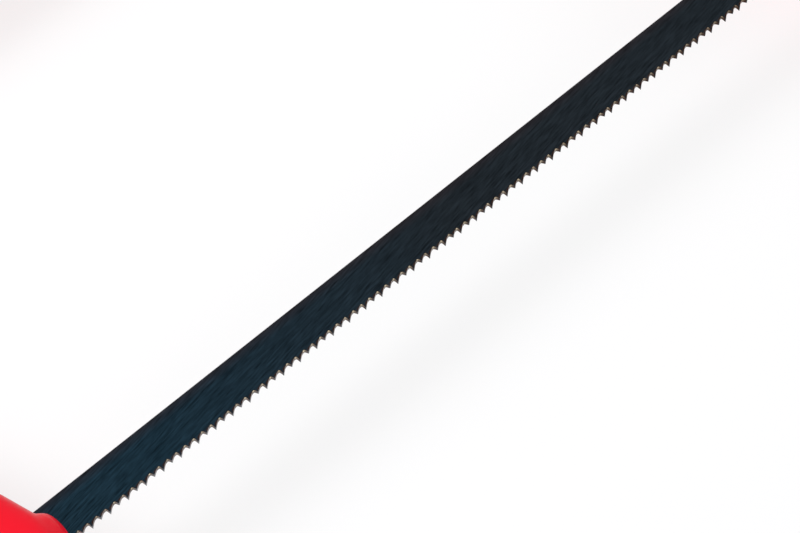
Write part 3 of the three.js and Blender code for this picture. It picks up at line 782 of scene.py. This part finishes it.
def boss_surface(settings, blade, handle):
    """A plain stub with a half-ellipse end, ahead of the front pin."""
    turn = np.linspace(0, np.pi / 2, PROFILE_STEPS)
    start = blade.pin_span + settings.boss_straight
    x = np.concatenate([start + settings.boss_dome * np.cos(turn), [blade.pin_span, blade.pin_span]])
    radius = np.concatenate([settings.boss_radius * np.sin(turn), [settings.boss_radius, 0]])
    return turned(x, radius, STUB_SIDES, handle.flatten)


def bow_blank(settings, blade, handle):
    """The bow before anything is cut out of it."""
    blank = piece("bow_moulding", *bow_surfaces(settings, blade))
    tools = [
        piece("collar_tool", collar_surface(settings, handle)),
        piece("boss_tool", boss_surface(settings, blade, handle)),
    ]
    combine(blank, tools, "UNION")
    return blank


# Start and end along the blade, each from its own pin
REAR_POCKET = (-2 * MM, 7 * MM)
FRONT_POCKET = (-1 * MM, 7.6 * MM)
FRONT_BORE = (-3.7 * MM, 13.3 * MM)
# Inner faces of the rear and front cap, from the blade's axis
CAP_TOPS = (-5.8 * MM, -4.3 * MM)
# How far a cutter reaches past the surface
PAST = 2 * MM


def bow_cutters(settings, blade):
    """Room in the bow for the tube, the rod, the front anchor, the cross pins and the blade."""
    front = blade.pin_span
    low = -settings.foot - PAST
    top = blade.width / 2 + settings.slit_top
    pockets = [REAR_POCKET, tuple(front + place for place in FRONT_POCKET)]
    rods = [
        (-settings.collar_end - PAST, settings.tube_front, settings.tube_bore),
        (0, settings.nose_wall, settings.bore),
        (front + FRONT_BORE[0], front + FRONT_BORE[1], settings.bore),
    ]
    reach = settings.rear_arm + settings.lip_height + settings.foot
    slits = [(REAR_POCKET[1] - MM, reach), (front - settings.front_arm - settings.foot, pockets[1][0] + MM)]
    tools = [piece("bore_tool", turned([a, a, b, b], [0, r, r, 0], BORE_SIDES)) for a, b, r in rods]
    tools += [
        piece("pocket_tool", box((a, low, -settings.pocket), (b, 0, settings.pocket))) for a, b in pockets
    ]
    tools += [piece("slit_tool", box((a, low, -settings.slit), (b, top, settings.slit))) for a, b in slits]
    return tools


def cap_tool(settings, blade, place):
    """The block that a snap cap fills."""
    start, end = (REAR_POCKET, tuple(blade.pin_span + part for part in FRONT_POCKET))[place]
    half = settings.pocket - settings.gap
    low = (start + settings.gap, -settings.foot - PAST, -half)
    high = (end - settings.gap, CAP_TOPS[place], half)
    return piece("cap_tool", box(low, high))


# Handle and knob

GROOVE_POWER = 5
ROUND_STEPS = 14
SOFT_STEPS = 8


def handle_profile(handle, bow):
    """Profile of the hard body: eased guard, recess for the grip, eased flare, counterbore and bore."""
    steps = PROFILE_STEPS
    guard_end = handle.guard_rise + handle.guard_crest + handle.guard_fall
    grip_start = guard_end + handle.rim
    flare_start = handle.body_length - handle.flare_end - handle.guard_crest - handle.flare_rise
    grip_end = flare_start - handle.rim
    crest = handle.guard_rise + handle.guard_crest
    flare_top = flare_start + handle.flare_rise
    outer = [
        (np.linspace(0, handle.guard_rise, steps), eased(handle.front_radius, handle.guard_radius, steps)),
        (np.linspace(crest, guard_end, steps), eased(handle.guard_radius, handle.neck_radius, steps)),
        ([grip_start, grip_start, grip_end, grip_end],
         [handle.neck_radius, handle.recess_radius, handle.recess_radius, handle.neck_radius]),
        (np.linspace(flare_start, flare_top, steps), eased(handle.neck_radius, handle.guard_radius, steps)),
        (np.linspace(flare_top + handle.guard_crest, handle.body_length, steps),
         eased(handle.guard_radius, handle.end_radius, steps)),
    ]
    inner_x = [handle.body_length, handle.body_length - handle.counterbore_depth,
               handle.body_length - handle.counterbore_depth, 0]
    inner_radius = [handle.counterbore, handle.counterbore, bow.tube_bore, bow.tube_bore]
    distance = np.concatenate([part for part, _ in outer] + [inner_x])
    radius = np.concatenate([part for _, part in outer] + [inner_radius])
    flatten = np.full(len(radius), handle.flatten)
    flatten[-len(inner_radius):] = 1
    return distance, radius, flatten, (grip_start, grip_end)


def handle_front(bow, handle):
    """Place of the handle's front face along the blade."""
    return -bow.collar_end - handle.seat_gap


def grip_profile(handle, ends):
    """A barrel, neck + swell sin ** 2, with rings: a groove is a cosine to GROOVE_POWER between two ribs."""
    start, end = ends[0] + handle.grip_gap, ends[1] - handle.grip_gap
    share = np.linspace(0, 1, handle.ribs * PROFILE_STEPS + 1)
    barrel = handle.neck_radius + handle.swell * np.sin(np.pi * share) ** 2
    groove = handle.rib_depth * np.abs(np.cos(np.pi * handle.ribs * share)) ** GROOVE_POWER
    inner = handle.recess_radius + handle.grip_gap
    distance = np.concatenate([[start], start + (end - start) * share, [end]])
    radius = np.concatenate([[inner], barrel - groove, [inner]])
    return distance, radius


def knob_surface(knob, start_x):
    """Profile of the knob with lobes: r + h w cos(n a), where w fades the lobes below the rounded ends."""
    quarter = np.linspace(0, np.pi / 2, ROUND_STEPS)
    soft = knob.rounding
    out = knob.radius
    front_x = soft - soft * np.cos(quarter)
    front_r = out - soft + soft * np.sin(quarter)
    plug = knob.plug_radius + knob.plug_fit
    seat = knob.body_length - knob.plug_depth
    distance = np.concatenate([
        [seat, -knob.hub_length, -knob.hub_length, 0], front_x,
        knob.body_length - front_x[::-1], [knob.body_length, seat],
    ])
    radius = np.concatenate([
        [knob.bore, knob.bore, knob.hub_radius, knob.hub_radius], front_r, front_r[::-1], [plug, plug],
    ])
    turn = np.linspace(0, 2 * np.pi, KNOB_SIDES, endpoint=False)
    weight = np.clip((radius - knob.hub_radius) / (out - soft - knob.hub_radius), 0, 1)[:, None]
    lobed = radius[:, None] + knob.lobe_height * weight * np.cos(knob.lobes * turn)
    x = np.broadcast_to(start_x - distance[:, None], lobed.shape)
    points = np.stack([x, lobed * np.cos(turn), lobed * np.sin(turn)], axis=-1).reshape(-1, 3)
    return points, grid_faces(len(distance), len(turn), wrap_rows=True, wrap_columns=True)


def plug_surface(knob, start_x):
    """A plug with a softened edge and a shallow dished end."""
    soft, dish, rim, slope = 0.5 * MM, 0.25 * MM, 1.6 * MM, 0.4 * MM
    turn = np.linspace(0, np.pi / 2, SOFT_STEPS)
    end = start_x - knob.body_length - knob.plug_proud
    inner = start_x - knob.body_length + knob.plug_depth - knob.seat_gap
    edge_x = end + soft - soft * np.sin(turn)
    edge_r = knob.plug_radius - soft + soft * np.cos(turn)
    ring = knob.plug_radius - rim
    x = np.concatenate([[inner, inner], edge_x, [end, end + dish, end + dish]])
    radius = np.concatenate([[0, knob.plug_radius], edge_r, [ring, ring - slope, 0]])
    return turned(x, radius, STUB_SIDES)


# Operators

class HACKSAW_OT_stage(bpy.types.Operator):
    """Makes the table, the light and the camera of the photograph"""

    bl_idname = "hacksaw.stage"
    bl_label = "Stage and camera"

    def execute(self, context):
        scene = context.scene
        stage = scene.hacksaw_stage
        scene.view_settings.view_transform = "Standard"
        self.camera(scene, stage)
        self.table(scene, stage)
        self.light(scene, stage)
        self.sky(scene, stage)
        return {"FINISHED"}

    def camera(self, scene, stage):
        """The fitted view: right, up and back from the azimuth and elevation over the blade's plane."""
        cos_a, sin_a = math.cos(stage.azimuth), math.sin(stage.azimuth)
        cos_e, sin_e = math.cos(stage.elevation), math.sin(stage.elevation)
        right = np.array([cos_a, -sin_a, 0]) @ SAW_TURN
        up = np.array([sin_a * sin_e, cos_a * sin_e, cos_e]) @ SAW_TURN
        back = np.array([-sin_a * cos_e, -cos_a * cos_e, sin_e]) @ SAW_TURN
        centre = in_row([stage.camera_x, stage.camera_y, stage.camera_z])
        data = bpy.data.cameras.new("photo_camera")
        data.sensor_fit = "HORIZONTAL"
        data.sensor_width = 36
        data.lens = data.sensor_width * stage.focal_pixels / PICTURE_WIDTH
        data.clip_start = 0.01
        camera = bpy.data.objects.new("photo_camera", data)
        rows = np.eye(4)
        rows[:3] = np.stack([right, up, back, centre], axis=-1)
        camera.matrix_world = Matrix(rows.tolist())
        scene.collection.objects.link(camera)
        scene.camera = camera

    def table(self, scene, stage):
        """A white laminate table that glows enough to read as white and still takes the saw's shadow."""
        half = stage.table / 2
        corners = [(-half, -half, 0), (half, -half, 0), (half, half, 0), (-half, half, 0)]
        mesh = bpy.data.meshes.new("table")
        mesh.from_pydata(corners, [], [(0, 1, 2, 3)])
        material, tree, shader, place = start_material("white_laminate", Roughness=0.7)
        grain = noise(tree, place, per_mm(60), 2.0)
        link(tree, shader, Base_Color=mix(tree, grain, rgba(linear("#f4f5f8")), rgba(linear("#fbfbfd"))))
        share = ranged(tree, seen(tree), 0, stage.table_glow)
        glow = add_node(tree, "ShaderNodeEmission", {"Color": (1, 1, 1, 1), "Strength": 1.0})
        values = {0: share, 1: shader.outputs["BSDF"], 2: glow.outputs["Emission"]}
        mixed = add_node(tree, "ShaderNodeMixShader", values)
        output = next(item for item in tree.nodes if item.type == "OUTPUT_MATERIAL")
        link(tree, output, Surface=mixed.outputs["Shader"])
        mesh.materials.append(material)
        table = bpy.data.objects.new("table", mesh)
        scene.collection.objects.link(table)

    def light(self, scene, stage):
        """A large soft key from beyond the back bar on the handle's side, and a weak fill opposite."""
        level, rise = math.cos(stage.key_elevation), math.sin(stage.key_elevation)
        aim = Vector(in_row([stage.aim, 0, 0]).tolist())
        lamps = {
            "key": (stage.key_power, (-level, level, rise)),
            "fill": (stage.fill_power, (level, -level / 2, rise / 2)),
        }
        for name, (power, way) in lamps.items():
            data = bpy.data.lights.new(name, "AREA")
            data.energy = power
            data.size = stage.key_size
            lamp = bpy.data.objects.new(name, data)
            way = Vector(way).normalized()
            lamp.location = aim + way * stage.key_distance
            lamp.rotation_euler = way.to_track_quat("Z", "Y").to_euler()
            scene.collection.objects.link(lamp)

    def sky(self, scene, stage):
        """Even light from all round, which the camera and shiny surfaces see as white."""
        world = bpy.data.worlds.new("sky")
        world.use_nodes = True
        tree = world.node_tree
        tree.nodes.clear()
        strength = ranged(tree, seen(tree), stage.sky, 1.0)
        white = add_node(tree, "ShaderNodeBackground", {"Color": (1, 1, 1, 1), "Strength": strength})
        add_node(tree, "ShaderNodeOutputWorld", {"Surface": white.outputs["Background"]})
        scene.world = world


class HACKSAW_OT_blade(bpy.types.Operator):
    """Makes the blued blade with its set and ground teeth"""

    bl_idname = "hacksaw.blade"
    bl_label = "Blade"

    def execute(self, context):
        settings = context.scene.hacksaw_blade
        dress(make_blade(settings), "draw_rod", "blade", blued_strip(settings))
        return {"FINISHED"}


class HACKSAW_OT_bow(bpy.types.Operator):
    """Makes the moulded bow and the two snap caps in its feet"""

    bl_idname = "hacksaw.bow"
    bl_label = "Bow and snap caps"

    def execute(self, context):
        scene = context.scene
        bow, blade, handle = scene.hacksaw_bow, scene.hacksaw_blade, scene.hacksaw_handle
        red = red_polyamide(bow)
        blank = bow_blank(bow, blade, handle)
        caps = (
            ("rear_snap_cap", "rear_cap", "rear_blade_cap"),
            ("front_snap_cap", "front_cap", "front_blade_cap"),
        )
        for place, (name, body, node) in enumerate(caps):
            cap = twin(blank, name)
            combine(cap, [cap_tool(bow, blade, place)], "INTERSECT")
            dress(cap, body, node, red)
        combine(blank, bow_cutters(bow, blade), "DIFFERENCE")
        dress(blank, "frame", "bow_cover", red)
        return {"FINISHED"}


class HACKSAW_OT_handle(bpy.types.Operator):
    """Makes the handle's hard body and its ribbed soft grip"""

    bl_idname = "hacksaw.handle"
    bl_label = "Handle and grip"

    def execute(self, context):
        scene = context.scene
        bow, handle = scene.hacksaw_bow, scene.hacksaw_handle
        front = handle_front(bow, handle)
        distance, radius, flatten, ends = handle_profile(handle, bow)
        body = piece("handle_moulding", turned(front - distance, radius, HANDLE_SIDES, flatten, wrap=True))
        dress(body, "frame", "handle_body", red_polyamide(bow))
        distance, radius = grip_profile(handle, ends)
        grip = piece("ribbed_grip", turned(front - distance, radius, HANDLE_SIDES, handle.flatten, wrap=True))
        dress(grip, "frame", "grip_sleeve", soft_elastomer(handle))
        return {"FINISHED"}


class HACKSAW_OT_knob(bpy.types.Operator):
    """Makes the lobed tension knob and its end plug"""

    bl_idname = "hacksaw.knob"
    bl_label = "Tension knob"

    def execute(self, context):
        scene = context.scene
        bow, handle, knob = scene.hacksaw_bow, scene.hacksaw_handle, scene.hacksaw_knob
        start = handle_front(bow, handle) - handle.body_length - knob.seat_gap
        red = red_polyamide(bow)
        body = piece("lobed_knob", knob_surface(knob, start))
        dress(body, "tension_knob", "tension_knob", red)
        plug = piece("knob_plug", plug_surface(knob, start))
        dress(plug, "tension_knob", "knob_cap", red)
        return {"FINISHED"}


class HACKSAW_OT_inside(bpy.types.Operator):
    """Gives the pieces inside the saw their metal and nylon finishes"""

    bl_idname = "hacksaw.inside"
    bl_label = "Inside pieces"

    def execute(self, context):
        finishes = {
            "bright_steel": turned_metal("machined_mild_steel", "#a3a7ab", 0.34),
            "spring_steel": turned_metal("drawn_spring_steel", "#7b8084", 0.38),
            "brass": turned_metal("turned_brass", "#c29d55", 0.3),
            "nylon": plain_nylon(),
        }
        slots = {part["node"]: part["material_slot"] for part in frame["record"]["subparts"]}
        for name, item in frame["nodes"].items():
            finish = finishes.get(slots[name])
            for slot in item.material_slots:
                slot.material = finish or slot.material
        return {"FINISHED"}


class HACKSAW_PT_panel(bpy.types.Panel):
    """Lists the saw's sizes and the steps that make it"""

    bl_idname = "HACKSAW_PT_panel"
    bl_label = "Hacksaw"
    bl_space_type = "VIEW_3D"
    bl_region_type = "UI"
    bl_category = "Hacksaw"

    def draw(self, context):
        for step in OPERATORS:
            self.layout.operator(step.bl_idname)
        for name, group in SETTINGS.items():
            box_layout = self.layout.box()
            box_layout.label(text=group.__doc__)
            for key in group.__annotations__:
                box_layout.prop(getattr(context.scene, name), key)


SETTINGS = {
    "hacksaw_blade": BladeSettings,
    "hacksaw_bow": BowSettings,
    "hacksaw_handle": HandleSettings,
    "hacksaw_knob": KnobSettings,
    "hacksaw_stage": StageSettings,
}
OPERATORS = (
    HACKSAW_OT_stage,
    HACKSAW_OT_blade,
    HACKSAW_OT_bow,
    HACKSAW_OT_handle,
    HACKSAW_OT_knob,
    HACKSAW_OT_inside,
)


def register():
    for group in SETTINGS.values():
        bpy.utils.register_class(group)
    for step in OPERATORS:
        bpy.utils.register_class(step)
    bpy.utils.register_class(HACKSAW_PT_panel)
    for name, group in SETTINGS.items():
        setattr(bpy.types.Scene, name, PointerProperty(type=group))


def unregister():
    for name in SETTINGS:
        delattr(bpy.types.Scene, name)
    bpy.utils.unregister_class(HACKSAW_PT_panel)
    for step in OPERATORS:
        bpy.utils.unregister_class(step)
    for group in SETTINGS.values():
        bpy.utils.unregister_class(group)


def main():
    """Builds the scene step by step."""
    register()
    bpy.ops.hacksaw.stage()
    bpy.ops.hacksaw.blade()
    bpy.ops.hacksaw.bow()
    bpy.ops.hacksaw.handle()
    bpy.ops.hacksaw.knob()
    bpy.ops.hacksaw.inside()


if __name__ == "__main__":
    main()
